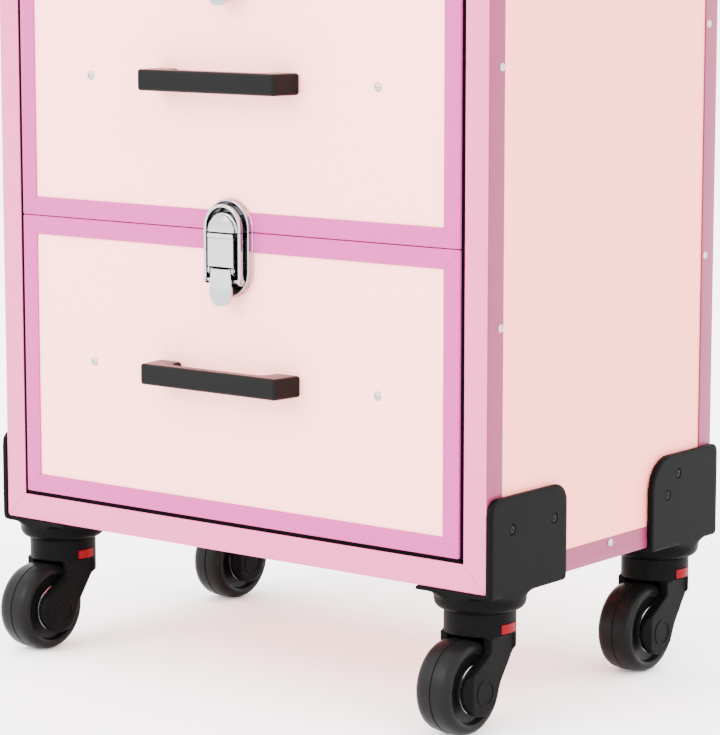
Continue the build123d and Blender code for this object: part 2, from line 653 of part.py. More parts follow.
def caster_wheel():
    """A wheel with dished sides and a hub, turned about its axle."""
    half, radius, bore = WHEEL_WIDTH / 2, WHEEL_RADIUS, AXLE + FIT
    side_profile = (
        (half, bore), (half, HUB_EDGES[0]), (half - WHEEL_DISH, HUB_EDGES[1]),
        (half - WHEEL_DISH, radius - RIM_EDGES[0]), (half, radius - RIM_EDGES[1]),
        (half, radius - RIM_EDGES[2]), (half - RIM_EDGES[2], radius),
    )
    mirrored = [(-across, out_from_axle) for across, out_from_axle in side_profile]
    with BuildPart() as wheel:
        with BuildSketch(facing_front(-TRAIL).shift_origin((0, -TRAIL, radius))):
            with BuildLine():
                Polyline(*mirrored, *reversed(side_profile), mirrored[0])
            make_face()
        revolve(axis=Axis((0, -TRAIL, radius), (1, 0, 0)))
    return wheel.part


def bracket_screws():
    """Two screw heads on the side wall of each bracket."""
    heads = []
    for _, side, end in CORNERS:
        face, places = (FRONT, FRONT_SCREWS) if end < 0 else (REAR, REAR_SCREWS)
        for inset, z in places:
            spot = (side * (SIDE + BRACKET_SKIN), face - end * inset, BOTTOM + z)
            face_plane = Plane(origin=spot, x_dir=(0, side, 0), z_dir=(side, 0, 0))
            heads.append(dome(face_plane, *BRACKET_SCREW_HEAD))
    return Compound(children=heads)


fork, wheel = caster_fork(), caster_wheel()
for name, side, end in CORNERS:
    x, y = swivel_at(side, end)
    save(corner_bracket(side, end), f"{name}_bracket")
    save(fork.moved(Location((x, y, 0))), f"{name}_caster_fork")
    save(wheel.moved(Location((x, y, 0))), f"{name}_caster_wheel")
save(bracket_screws(), "bracket_screws")

# ---- lid ----
LID_WALL_TOP = TOP - SKIN
with BuildPart() as lid_shell:
    slab((SKIN - SIDE, FRONT + SKIN, LID_LOW), (SIDE - SKIN, LID_REAR - SKIN, LID_WALL_TOP))
    slab(
        (SKIN + BOARD - SIDE, FRONT + SKIN + BOARD, LID_LOW),
        (SIDE - SKIN - BOARD, LID_REAR, LID_WALL_TOP - BOARD),
        mode=Mode.SUBTRACT,
    )
save(lid_shell.part, "lid_shell")
lid_plane = Plane.XY.offset(TOP).shift_origin((0, (FRONT + LID_REAR) / 2, TOP))
save(mitred_frame(lid_plane, WIDTH, LID_REAR - FRONT, ((REAR_BAR, SKIN), (SKIN, REAR_BAR))), "lid_trim")

# The lid's hinge lies on top, just in front of the rear frame.
HINGE_PIN = 1.5
HINGE_KNUCKLE = 3.0
HINGE_LEAF = 1.2
HINGE_WIDTH = 12.0
HINGE_GAP = 0.4
HINGE_Y = REAR - REAR_BAR - LID_BACK_GAP / 2
HINGE_Z = TOP + HINGE_KNUCKLE
HINGE_LENGTH = 50.0
HINGE_XS = (-110.0, 110.0)
KNUCKLES = 5
KNUCKLE_GAP = 0.3
KNUCKLE_CLEAR = 0.2


def hinge_half(moving):
    """One leaf of both hinges with its share of the knuckles, and the pins with the fixed leaf."""
    halves = []
    knuckle = HINGE_LENGTH / KNUCKLES
    for middle in HINGE_XS:
        with BuildPart() as leaf:
            toward = -1 if moving else 1
            slab(
                (middle - HINGE_LENGTH / 2, HINGE_Y + toward * HINGE_GAP, TOP),
                (middle + HINGE_LENGTH / 2, HINGE_Y + toward * HINGE_WIDTH, TOP + HINGE_LEAF),
            )
            for number in range(KNUCKLES):
                x = middle - HINGE_LENGTH / 2 + (number + 0.5) * knuckle
                turn = Location((x, HINGE_Y, HINGE_Z), (0, 90, 0))
                with Locations(turn):
                    if (number % 2 == 1) == moving:
                        Cylinder(HINGE_KNUCKLE, knuckle - KNUCKLE_GAP)
                    else:
                        Cylinder(HINGE_KNUCKLE + KNUCKLE_CLEAR, knuckle + KNUCKLE_GAP, mode=Mode.SUBTRACT)
            with Locations(Location((middle, HINGE_Y, HINGE_Z), (0, 90, 0))):
                Cylinder(HINGE_PIN + (FIT if moving else 0), HINGE_LENGTH, mode=Mode.SUBTRACT)
        halves.append(leaf.part)
        if not moving:
            with BuildPart() as pin:
                with Locations(Location((middle, HINGE_Y, HINGE_Z), (0, 90, 0))):
                    Cylinder(HINGE_PIN, HINGE_LENGTH)
            halves.append(pin.part)
    return Compound(children=halves)


save(hinge_half(True), "lid_hinge_leaves")
save(hinge_half(False), "case_hinge_leaves")

# ---- telescopic handle ----
TUBE_X = 70.0
GRIP_RADIUS = 10.5
TUBE_Y = REAR + REAR_OUT - GRIP_RADIUS
TUBE_OUTER = 7.0
TUBE_BORE = 5.6
INNER_TUBE = 5.5
TUBE_LOW = BOTTOM + 60
TUBE_HIGH = CASE_TOP - 12
GRIP_LOW = TUBE_HIGH + 12
GRIP_HEIGHT = 22.0
GRIP_HALF = 84.0
CLAMP_HALF = 12.0

with BuildPart() as handle_guides:
    for side in (-1, 1):
        with BuildSketch(Plane.XY.offset(TUBE_LOW)):
            with Locations((side * TUBE_X, TUBE_Y)):
                Circle(TUBE_OUTER)
                Circle(TUBE_BORE, mode=Mode.SUBTRACT)
        extrude(amount=TUBE_HIGH - TUBE_LOW)
save(handle_guides.part, "handle_guide_tubes")

CLAMP_SPANS = ((TUBE_LOW - 10, TUBE_LOW + 20), (TUBE_HIGH - 30, TUBE_HIGH + 3))  # heights of the clamps
with BuildPart() as handle_clamps:
    for z0, z1 in CLAMP_SPANS:
        for side in (-1, 1):
            x = side * TUBE_X
            slab((x - CLAMP_HALF, REAR - FACE_SKIN, z0), (x + CLAMP_HALF, REAR + REAR_OUT - 1, z1))
            with BuildSketch(Plane.XY.offset(z0)):
                with Locations((x, TUBE_Y)):
                    Circle(TUBE_OUTER)
            extrude(amount=z1 - z0, mode=Mode.SUBTRACT)
save(handle_clamps.part, "handle_clamps")

BUTTON_HALF = (14.0, 4.5)
BUTTON_PROUD = 2.5
BUTTON_DEEP = 9.0
BUTTON_HEIGHT = 8.0
BUTTON_GAP = 0.3
BUTTON_EDGE = 1.2
GRIP_EDGE = 5.0
INNER_FOOT = TUBE_LOW + 10  # lower end of the sliding tubes
GRIP_HOLD = 4.0  # how far the sliding tubes run up into the grip
with BuildPart() as pull_handle:
    for side in (-1, 1):
        with BuildSketch(Plane.XY.offset(INNER_FOOT)):
            with Locations((side * TUBE_X, TUBE_Y)):
                Circle(INNER_TUBE)
        extrude(amount=GRIP_LOW - INNER_FOOT + GRIP_HOLD)
    with BuildSketch(Plane.XY.offset(GRIP_LOW)):
        with Locations((0, TUBE_Y)):
            SlotOverall(2 * GRIP_HALF, 2 * GRIP_RADIUS)
    extrude(amount=GRIP_HEIGHT)
    fillet(pull_handle.edges().group_by(Axis.Z)[-1], GRIP_EDGE)
    well_x, well_y = BUTTON_HALF[0] + BUTTON_GAP, BUTTON_HALF[1] + BUTTON_GAP
    grip_top = GRIP_LOW + GRIP_HEIGHT
    slab(
        (-well_x, TUBE_Y - well_y, grip_top - BUTTON_DEEP), (well_x, TUBE_Y + well_y, grip_top),
        mode=Mode.SUBTRACT,
    )
save(pull_handle.part, "pull_handle")

with BuildPart() as pull_button:
    top = GRIP_LOW + GRIP_HEIGHT + BUTTON_PROUD
    slab(
        (-BUTTON_HALF[0], TUBE_Y - BUTTON_HALF[1], top - BUTTON_HEIGHT),
        (BUTTON_HALF[0], TUBE_Y + BUTTON_HALF[1], top),
    )
    fillet(pull_button.edges().group_by(Axis.Z)[-1], BUTTON_EDGE)
save(pull_button.part, "pull_button")
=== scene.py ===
import json
import math

import bmesh
import bpy
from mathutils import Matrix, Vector


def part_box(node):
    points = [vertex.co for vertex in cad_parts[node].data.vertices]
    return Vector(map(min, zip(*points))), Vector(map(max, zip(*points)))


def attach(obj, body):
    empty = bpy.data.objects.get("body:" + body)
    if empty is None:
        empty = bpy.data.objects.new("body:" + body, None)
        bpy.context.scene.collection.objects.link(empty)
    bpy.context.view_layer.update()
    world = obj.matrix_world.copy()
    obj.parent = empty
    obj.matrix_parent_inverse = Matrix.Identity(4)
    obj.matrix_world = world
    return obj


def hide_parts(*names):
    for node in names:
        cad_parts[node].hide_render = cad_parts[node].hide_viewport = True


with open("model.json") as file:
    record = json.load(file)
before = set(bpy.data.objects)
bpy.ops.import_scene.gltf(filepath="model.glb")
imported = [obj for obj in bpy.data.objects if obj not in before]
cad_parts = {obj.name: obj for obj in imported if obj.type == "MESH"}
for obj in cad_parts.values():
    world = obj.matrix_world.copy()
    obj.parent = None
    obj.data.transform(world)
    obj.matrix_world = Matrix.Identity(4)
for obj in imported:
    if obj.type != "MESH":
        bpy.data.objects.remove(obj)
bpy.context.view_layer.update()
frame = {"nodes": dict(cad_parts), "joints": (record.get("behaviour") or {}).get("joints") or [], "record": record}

# A wheeled spa case: two latched drawers, a lidded tray, a pull handle and four casters.
# Sizes are millimetres, turned into metres where a point is placed. +X right, +Y back, +Z up.
MM = 0.001


def corners_of(node):
    """A CAD node's lowest and highest corners, in millimetres."""
    low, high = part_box(node)
    return low / MM, high / MM


def joint_place(name):
    """Where a joint's axis passes, in millimetres."""
    joint = next(j for j in frame["joints"] if j["name"] == name)
    return Vector(joint["pos_m"]) / MM


# ---- places taken from the frame ----
CASE_LOW, CASE_HIGH = corners_of("front_frame")
BACK_LOW, BACK_HIGH = corners_of("rear_frame")
FRONT, REAR, SIDE, BOTTOM = CASE_LOW.y, BACK_HIGH.y, CASE_HIGH.x, CASE_LOW.z
TRIM_FACE = corners_of("drawer_1_trim")[0].y
PANEL_FACE = corners_of("drawer_1_front")[0].y
LATCH_X = joint_place("latch_1_lever_turn").x
DRAWERS = (1, 2)
CORNERS = {"front_left": (-1, -1), "front_right": (1, -1), "rear_left": (-1, 1), "rear_right": (1, 1)}


# ---- materials ----
def linear(red, green, blue):
    """An sRGB colour, 0 to 255, as the linear values that a shader takes."""
    def channel(value):
        value /= 255
        return value / 12.92 if value <= 0.04045 else ((value + 0.055) / 1.055) ** 2.4
    return channel(red), channel(green), channel(blue), 1.0


def material(name, colour, roughness, metallic=0.0, variation=0.03, patch=25.0, grain=900.0, relief=0.00002,
             rough_variation=0.06, shine=0.5, stretch=(1.0, 1.0, 1.0)):
    """A surface with soft colour patches, uneven gloss and a fine relief.

    patch and grain are the patterns' scales per metre, relief is the height of the grain in metres.
    """
    made = bpy.data.materials.new(name)
    made.use_nodes = True
    nodes, links = made.node_tree.nodes, made.node_tree.links
    shader = nodes["Principled BSDF"]
    shader.inputs["Metallic"].default_value = metallic
    shader.inputs["Specular IOR Level"].default_value = shine
    place = nodes.new("ShaderNodeTexCoord")
    mapping = nodes.new("ShaderNodeMapping")
    mapping.inputs["Scale"].default_value = stretch
    links.new(place.outputs["Object"], mapping.inputs["Vector"])

    def noise(scale, detail):
        made_noise = nodes.new("ShaderNodeTexNoise")
        made_noise.inputs["Scale"].default_value = scale
        made_noise.inputs["Detail"].default_value = detail
        links.new(mapping.outputs["Vector"], made_noise.inputs["Vector"])
        return made_noise.outputs["Fac"]

    blotches, fine = noise(patch, 3.0), noise(grain, 2.0)
    tint = nodes.new("ShaderNodeMix")
    tint.data_type = "RGBA"
    base = linear(*colour)
    tint.inputs["A"].default_value = (*(c * (1 - variation) for c in base[:3]), 1.0)
    tint.inputs["B"].default_value = (*(min(1.0, c * (1 + variation)) for c in base[:3]), 1.0)
    links.new(blotches, tint.inputs["Factor"])
    links.new(tint.outputs["Result"], shader.inputs["Base Color"])
    gloss = nodes.new("ShaderNodeMapRange")
    gloss.inputs["To Min"].default_value = max(0.02, roughness - rough_variation)
    gloss.inputs["To Max"].default_value = roughness + rough_variation
    links.new(blotches, gloss.inputs["Value"])
    links.new(gloss.outputs["Result"], shader.inputs["Roughness"])
    bump = nodes.new("ShaderNodeBump")
    bump.inputs["Distance"].default_value = relief
    bump.inputs["Strength"].default_value = 1.0
    links.new(fine, bump.inputs["Height"])
    links.new(bump.outputs["Normal"], shader.inputs["Normal"])
    return made


LAMINATE = material("pale_laminate", (250, 168, 164), 0.42, variation=0.012, patch=14, grain=1600,
                    relief=0.000012, shine=0.3)
# A darker, deeper pink copy of the laminate: painted shade for the panels that face away from the key light.
SHADED_LAMINATE = material("laminate_painted_side_shade", (237, 136, 127), 0.45, variation=0.012, patch=14, grain=1600,
                         relief=0.000012, shine=0.3)
FRAME_PINK = material("light_pink_profile", (181, 75, 122), 0.36, variation=0.02, grain=2200, relief=0.000006,
                      shine=0.25)
# A darker copy of the profile pink: painted shade on the sideways faces, the rear profiles and the side rails.
SHADED_PROFILE_PINK = material("profile_pink_painted_shade", (109, 31, 66), 0.34, variation=0.03, grain=2200, relief=0.000006,
                     shine=0.2)
ORCHID = material("orchid_trim", (153, 41, 112), 0.33, variation=0.02, grain=2200, relief=0.000006, shine=0.2)
PLASTIC = material("black_moulded_plastic", (6, 6, 6), 0.42, variation=0.12, grain=2600, relief=0.00003,
                   shine=0.02)
COATED = material("black_coated_metal", (9, 9, 9), 0.30, variation=0.1, grain=3000, relief=0.00002,
                  shine=0.05)
TYRE = material("black_tyre", (11, 11, 11), 0.38, variation=0.12, grain=1500, relief=0.00003, shine=0.06)
# Near-black sheets put in the gaps round the fronts and round the red inserts: painted shade.
SHADE_BLACK = material("painted_shade_black", (4, 1, 2), 0.7, variation=0.1, grain=1500, relief=0.00003, shine=0.02)
CHROME = material("chrome", (146, 146, 149), 0.10, metallic=1.0, variation=0.02, grain=700, relief=0.000006,
                  rough_variation=0.04)
# A darker copy of the chrome: painted shade for the dish floor and the loop's cross bar.
SHADED_CHROME = material("chrome_painted_dish_shade", (50, 50, 52), 0.16, metallic=1.0, variation=0.25, patch=260,
                       grain=400, relief=0.00003, rough_variation=0.06)
STEEL = material("zinc_steel", (150, 150, 152), 0.26, metallic=1.0, variation=0.05, grain=1500,
                 relief=0.00001)
TUBE = material("drawn_tube", (140, 141, 144), 0.24, metallic=1.0, variation=0.03, grain=1200,
                relief=0.00001, stretch=(1.0, 1.0, 0.04))
BOARD = material("grey_board", (70, 66, 68), 0.75, variation=0.08, patch=60, grain=1800, relief=0.00006,
                 shine=0.2)
RED = material("red_plastic", (92, 2, 10), 0.36, variation=0.06, grain=2000, relief=0.00002, shine=0.04)

FINISHES = {
    "pink_laminate": LAMINATE, "pink_frame": FRAME_PINK, "pink_trim": ORCHID, "black_plastic": PLASTIC,
    "black_coated": COATED, "tyre_rubber": TYRE, "chrome": CHROME, "zinc_steel": STEEL, "box_board": BOARD,
    "handle_tube": TUBE,
}


# ---- mesh tools ----
def piece(name, mesh, body, surface, replaces=(), sharp=35.0):
    """Turns a bmesh into an object that rides on a body; edges sharper than sharp degrees stay crisp."""
    bmesh.ops.remove_doubles(mesh, verts=mesh.verts, dist=0.002 * MM)
    bmesh.ops.recalc_face_normals(mesh, faces=mesh.faces)
    data = bpy.data.meshes.new(name)
    mesh.to_mesh(data)
    mesh.free()
    made = bpy.data.objects.new(name, data)
    bpy.context.scene.collection.objects.link(made)
    data.polygons.foreach_set("use_smooth", [True] * len(data.polygons))
    data.set_sharp_from_angle(angle=math.radians(sharp))
    data.materials.append(surface)
    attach(made, body)
    if replaces:
        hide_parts(*replaces)
    return made


def soften(made, width, segments=3):
    """Rounds a piece's sharp edges by width millimetres."""
    bevel = made.modifiers.new("rounded_edges", "BEVEL")
    bevel.width = width * MM
    bevel.segments = segments
    bevel.limit_method = "ANGLE"
    bevel.angle_limit = math.radians(35)
    bevel.harden_normals = True
    return made


def fuse(made, voxel, passes):
    """Melts a piece's overlapping solids into one moulding with soft inside and outside corners."""
    remesh = made.modifiers.new("moulded", "REMESH")
    remesh.mode = "VOXEL"
    remesh.voxel_size = voxel * MM
    smooth = made.modifiers.new("softened", "SMOOTH")
    smooth.iterations = passes
    smooth.factor = 0.5
    settle(made)
    made.data.polygons.foreach_set("use_smooth", [True] * len(made.data.polygons))
    return made


def settle(made):
    """Applies a piece's modifiers."""
    bpy.context.view_layer.update()
    shaped = made.evaluated_get(bpy.context.evaluated_depsgraph_get())
    data = bpy.data.meshes.new_from_object(shaped)
    made.modifiers.clear()
    made.data = data


def skin(mesh, rings, closed=True, caps=True):
    """Joins rings of points, each a list of vectors in millimetres, into a tube."""
    made = [[mesh.verts.new(point * MM) for point in ring] for ring in rings]
    count = len(made[0])
    for first, second in zip(made, made[1:]):
        for k in range(count if closed else count - 1):
            following = (k + 1) % count
            mesh.faces.new((first[k], first[following], second[following], second[k]))
    if caps:
        mesh.faces.new(made[0])
        mesh.faces.new(made[-1])


def prism(mesh, outline, start, end, place):
    """An outline of (u, v) points pushed from depth start to depth end."""
    skin(mesh, [[place(u, v, depth) for u, v in outline] for depth in (start, end)])


def block(mesh, low, high):
    """A box between two corners."""
    outline = [(low[0], low[1]), (high[0], low[1]), (high[0], high[1]), (low[0], high[1])]
    prism(mesh, outline, low[2], high[2], lambda u, v, depth: Vector((u, v, depth)))


def turned(mesh, profile, centre, axis, steps=48, start=0.0, sweep=360.0):
    """A profile of (radius, height) points turned round an axis through a point."""
    axis = Vector(axis).normalized()
    across = axis.orthogonal().normalized() if abs(axis.z) > 0.9 else axis.cross(Vector((0, 0, 1)))
    beside = axis.cross(across)
    whole = abs(sweep) >= 360
    rings = []
    for k in range(steps if whole else steps + 1):
        angle = math.radians(start + sweep * k / steps)
        spoke = across * math.cos(angle) + beside * math.sin(angle)
        rings.append([centre + spoke * radius + axis * height for radius, height in profile])
    if whole:
        rings.append(rings[0])
    skin(mesh, rings, caps=not whole)


def arc(centre, radius, start, end, steps):
    """Points on a circle from angle start to angle end, in degrees."""
    return [
        (centre[0] + radius * math.cos(math.radians(start + (end - start) * k / steps)),
         centre[1] + radius * math.sin(math.radians(start + (end - start) * k / steps)))
        for k in range(steps + 1)
    ]


def rounded_rectangle(low, high, radii, steps=8):
    """A rectangle's outline with one radius for each corner, from the lower left, anticlockwise."""
    signs = ((1, 1), (-1, 1), (-1, -1), (1, -1))
    places = ((low[0], low[1]), (high[0], low[1]), (high[0], high[1]), (low[0], high[1]))
    outline = []
    for k, (radius, (su, sv), (u, v)) in enumerate(zip(radii, signs, places)):
        start = 180 + 90 * k
        outline += arc((u + su * radius, v + sv * radius), radius, start, start + 90, steps)
    return outline


# ---- edge profiles ----
def mitred_profiles(mesh, low, high, section, corner, place, gap=0.12, steps=5):
    """Four legs round a rectangle: section is a loop of (inset, depth), corner the outside radius."""
    corners = ((low[0], low[1]), (high[0], low[1]), (high[0], high[1]), (low[0], high[1]))
    centre = Vector(((low[0] + high[0]) / 2, (low[1] + high[1]) / 2))
    for k in range(4):
        ends = [Vector(corners[k]), Vector(corners[(k + 1) % 4])]
        along = (ends[1] - ends[0]).normalized()
        outward = Vector((along.y, -along.x))
        if outward.dot(ends[0] - centre) < 0:
            outward = -outward
        rings = []
        for end, back in ((ends[0], along), (ends[1], -along)):
            stations = []
            for step in range(steps + 1):
                turn = math.radians(45 * (1 - step / steps))
                ring = []
                for inset, depth in section:
                    reach = max(corner, inset)
                    spot = end + back * (reach + gap) - outward * reach
                    spot += (outward * math.cos(turn) - back * math.sin(turn)) * (reach - inset)
                    ring.append(place(spot.x, spot.y, depth))
                stations.append(ring)
            rings += stations if back == along else stations[::-1]
        skin(mesh, rings)


def angle_section(bar, face_skin, skin_width, depth, nose=0.9, lip=0.5):
    """The section of an edge profile: a rounded nose, a face with a rolled lip, and a side wall."""
    loop = [(0, depth)] + arc((nose, nose), nose, 180, 270, 5)
    loop += arc((bar - lip, lip), lip, 270, 360, 4)
    return loop + [(bar, face_skin), (skin_width, face_skin), (skin_width, depth)]


def shade_sideways_faces(made):
    """Gives the faces that look sideways a darker copy of the profile pink, painted shade for the sides away from
    the light.
    """
    made.data.materials.append(SHADED_PROFILE_PINK)
    for face in made.data.polygons:
        if abs(face.normal.x) > 0.7:
            face.material_index = 1


SIDE_WALL = 1.0
FACE_WALL = 0.6
FRONT_BAR = 15.4  # face widths of the profiles
REAR_BAR = 13.0
RAIL_BAR = 12.6
FRONT_RETURN = 14.3  # how far the front profiles reach round the sides
OUTER_CORNER = 2.0
RAIL_RIDGE = 5.6  # where the rails' shallow step runs, in from the outer edge
RIDGE_STEP = 0.25


def case_profiles():
    mesh = bmesh.new()
    mitred_profiles(
        mesh, (CASE_LOW.x, CASE_LOW.z), (CASE_HIGH.x, CASE_HIGH.z),
        angle_section(FRONT_BAR, FACE_WALL, SIDE_WALL, FRONT_RETURN), OUTER_CORNER,
        lambda u, v, depth: Vector((u, FRONT + depth, v)),
    )
    shade_sideways_faces(piece("front_profiles", mesh, "case", FRAME_PINK, ["front_frame"]))
    mesh = bmesh.new()
    mitred_profiles(
        mesh, (BACK_LOW.x, BACK_LOW.z), (BACK_HIGH.x, BACK_HIGH.z),
        angle_section(REAR_BAR, FACE_WALL, SIDE_WALL, REAR_BAR), OUTER_CORNER,
        lambda u, v, depth: Vector((u, REAR - depth, v)),
    )
    # The rear profiles take the darker copy of the profile pink, painted shade.
    piece("rear_profiles", mesh, "case", SHADED_PROFILE_PINK, ["rear_frame"])
    mesh = bmesh.new()
    rail_low, rail_high = corners_of("side_rails")
    nose_and_lip = angle_section(RAIL_BAR, SIDE_WALL, SIDE_WALL, RAIL_BAR)
    section = nose_and_lip[:6] + [(RAIL_RIDGE, 0), (RAIL_RIDGE + 0.4, RIDGE_STEP)]
    section += [(inset, depth + RIDGE_STEP) for inset, depth in nose_and_lip[6:11]]
    section += [(RAIL_BAR, 1.3), (SIDE_WALL, 1.3), (SIDE_WALL, RAIL_BAR)]
    for side in (-1, 1):
        for edge, inward in ((rail_low.z, 1), (rail_high.z, -1)):
            skin(mesh, [
                [Vector((side * (SIDE - depth), y, edge + inward * inset)) for inset, depth in section]
                for y in (rail_low.y, rail_high.y)
            ])
    # The side rails take the darker copy of the profile pink, painted shade.
    piece("side_rail_profiles", mesh, "case", SHADED_PROFILE_PINK, ["side_rails"])


def front_gap_shade():
    """Near-black strips set into the gap round the fronts as painted shade; the upright ones ride on the drawers'
    edges.
    """
    near, far = FRONT + 0.7, FRONT + 6.0
    opening = FRONT_BAR + 0.05  # the front profiles' inner edge, in from the case's outside
    low, high = corners_of("drawer_1_trim")
    top = corners_of("apron_trim")[1].z
    mesh = bmesh.new()
    block(mesh, (low.x, near, CASE_LOW.z + opening), (high.x, far, low.z - 0.05))
    block(mesh, (low.x, near, top + 0.05), (high.x, far, CASE_HIGH.z - opening))
    piece("front_gap_shade", mesh, "case", SHADE_BLACK)
    for node, body in (("drawer_1_trim", "drawer_1"), ("drawer_2_trim", "drawer_2"), ("apron_trim", "case")):
        low, high = corners_of(node)
        mesh = bmesh.new()
        block(mesh, (CASE_LOW.x + opening, near, low.z), (low.x - 0.02, far, high.z))
        block(mesh, (high.x + 0.02, near, low.z), (CASE_HIGH.x - opening, far, high.z))
        piece(f"{node}_side_gap_shades", mesh, body, SHADE_BLACK)


SEAM_CLOSE = 0.3  # the trims' rolled edges reach into the gap between two fronts


def front_trims():
    fronts = (("drawer_1_trim", "drawer_1"), ("drawer_2_trim", "drawer_2"), ("apron_trim", "case"))
    for number, (node, body) in enumerate(fronts):
        low, high = corners_of(node)
        top = high.z if node == "apron_trim" else high.z + SEAM_CLOSE
        foot = low.z if number == 0 else low.z - SEAM_CLOSE
        mesh = bmesh.new()
        mitred_profiles(
            mesh, (low.x, foot), (high.x, top), angle_section(11.0, 1.2, 1.2, 8.0, nose=0.7), 0.8,
            lambda u, v, depth: Vector((u, TRIM_FACE + depth, v)), gap=0.08,
        )
        piece(f"{node}_profiles", mesh, body, ORCHID, [node])


def lid_trims():
    low, high = corners_of("lid_trim")
    mesh = bmesh.new()
    mitred_profiles(
        mesh, (low.x, low.y), (high.x, high.y), angle_section(13.0, SIDE_WALL, SIDE_WALL, 13.0), 2.0,
        lambda u, v, depth: Vector((u, v, high.z - depth)),
    )
    piece("lid_trim_profiles", mesh, "lid", FRAME_PINK, ["lid_trim"])


# ---- screws and rivets ----
def stud(mesh, centre, facing, radius, height, dimple=0.0):
    """A domed head; a dimple sinks a driver hole into its middle."""
    crown = [
        (radius * math.cos(math.radians(turn)), 0.2 * height + 0.8 * height * math.sin(math.radians(turn)))
        for turn in range(0, 91, 15)
    ]
    if dimple:
        crown = [spot for spot in crown if spot[0] > 0.45 * radius]
        crown += [(0.4 * radius, height - 0.1), (0.32 * radius, height - dimple), (0.0, height - dimple)]
    skirt = [(0.0, -0.3), (1.08 * radius, -0.3), (1.08 * radius, 0.12 * height)]
    turned(mesh, skirt + crown, centre, facing, 28)


def front_screws():
    for number in DRAWERS:
        low, high = corners_of(f"drawer_{number}_screws")
        middle = (low.z + high.z) / 2
        mesh = bmesh.new()
        for side in (-1, 1):
            stud(mesh, Vector((side * 106, PANEL_FACE, middle)), (0, -1, 0), 2.4, 1.4, dimple=0.5)
            stud(mesh, Vector((side * 42, high.y - 2.0, middle)), (0, 1, 0), 3.4, 2.0, dimple=0.8)
        name = f"drawer_{number}_screw_heads"
        piece(name, mesh, f"drawer_{number}", STEEL, [f"drawer_{number}_screws"], sharp=50)


# heights above the case's underside
FRONT_RIVETS = (144.0, 283.0, 420.0)
REAR_RIVETS = (165.5, 300.5, 435.0)
RAIL_RIVET = 121.0  # behind the front face


def side_rivets():
    mesh = bmesh.new()
    for side in (-1, 1):
        spots = [(FRONT + 11.9, BOTTOM + z) for z in FRONT_RIVETS]
        spots += [(REAR - 9.9, BOTTOM + z) for z in REAR_RIVETS]
        spots += [(FRONT + RAIL_RIVET, BOTTOM + 9.6), (FRONT + RAIL_RIVET, CASE_HIGH.z - 9.6)]
        for y, z in spots:
            stud(mesh, Vector((side * SIDE, y, z)), (side, 0, 0), 2.15, 1.1, dimple=0.35)
    piece("rivet_heads", mesh, "case", STEEL, ["frame_rivets"], sharp=50)


# ---- bar pulls ----
PULL_SWELL = 0.9  # above and below the CAD bar
PULL_LONGER = (3.0, 0.6)  # to the left and to the right


def bar_pulls():
    for number in DRAWERS:
        low, high = corners_of(f"drawer_{number}_pull")
        low -= Vector((PULL_LONGER[0], 0, PULL_SWELL))
        high += Vector((PULL_LONGER[1], 0, PULL_SWELL))
        foot, bar, inner = 17.0, 2.5, 8.5
        outline = [
            (low.x, high.y), (low.x + bar, low.y), (high.x - bar, low.y), (high.x, high.y),
            (high.x - foot, high.y), (high.x - foot - 1.0, low.y + inner + 3.5),
            (high.x - foot - 4.5, low.y + inner), (low.x + foot + 4.5, low.y + inner),
            (low.x + foot + 1.0, low.y + inner + 3.5), (low.x + foot, high.y),
        ]
        mesh = bmesh.new()
        prism(mesh, outline, low.z, high.z, lambda u, v, depth: Vector((u, v, depth)))
        node = f"drawer_{number}_pull"
        made = piece(f"{node}_bar", mesh, f"drawer_{number}", COATED, [node], sharp=20)
        soften(made, 1.7, segments=5)


# ---- latches ----
DISH_HALF = 16.0
DISH_UP = 18.2
DISH_DOWN = 37.5
SPLIT = 0.15
BAND_MIDDLE = 12.65  # the band's middle line, out from the latch's own
BRIDGE_HALF = 9.4
BRIDGE_FRONT = 9.2
BAND_SECTION = rounded_rectangle((-0.95, 4.2), (0.95, 7.9), (0.6, 0.6, 0.6, 0.6), steps=3)
RIM_SECTION = [(0.25, 0.0), (0.0, 0.35), (-0.1, 2.7)] + arc((-0.65, 2.85), 0.55, 10, 170, 6) + [(-1.2, 0.7)]


def latch_place(seam):
    """Maps across, up from the seam and out of the trim's face to a point."""
    return lambda across, up, depth: Vector((LATCH_X + across, TRIM_FACE - depth, seam + up))


def follow(mesh, path, section, place):
    """Pushes a section of (offset, depth) along a path of (point, outward direction)."""
    skin(mesh, [
        [
            place(spot[0] + outward[0] * offset, spot[1] + outward[1] * offset, depth)
            for offset, depth in section
        ]
        for spot, outward in path
    ])


def half_oval(radius, end, above, steps=28):
    """The path round one half of an oval: end is how far its round end is from the seam."""
    toward = 1 if above else -1
    middle = toward * (end - radius)
    path = [((radius, toward * SPLIT), (1, 0))]
    for k in range(steps + 1):
        turn = math.radians(180 * k / steps)
        outward = (math.cos(turn), toward * math.sin(turn))
        path.append(((radius * outward[0], middle + radius * outward[1]), outward))
    return path + [((-radius, toward * SPLIT), (-1, 0))]


def dish_half(name, seam, above, body, replaces=()):
    """One half of the oval dish: a rolled rim round a floor in darkened chrome, painted shade of the hollow."""
    place = latch_place(seam)
    path = half_oval(DISH_HALF, DISH_UP if above else DISH_DOWN, above)
    mesh = bmesh.new()
    follow(mesh, path, RIM_SECTION, place)
    piece(f"{name}_rim", mesh, body, CHROME, replaces)
    mesh = bmesh.new()
    # The dish floor takes the darkened chrome, painted shade of the hollow.
    floor = [(spot[0] - outward[0] * 0.8, spot[1] - outward[1] * 0.8) for spot, outward in path]
    prism(mesh, floor, 0.1, 1.0, place)
    piece(f"{name}_floor", mesh, body, SHADED_CHROME)


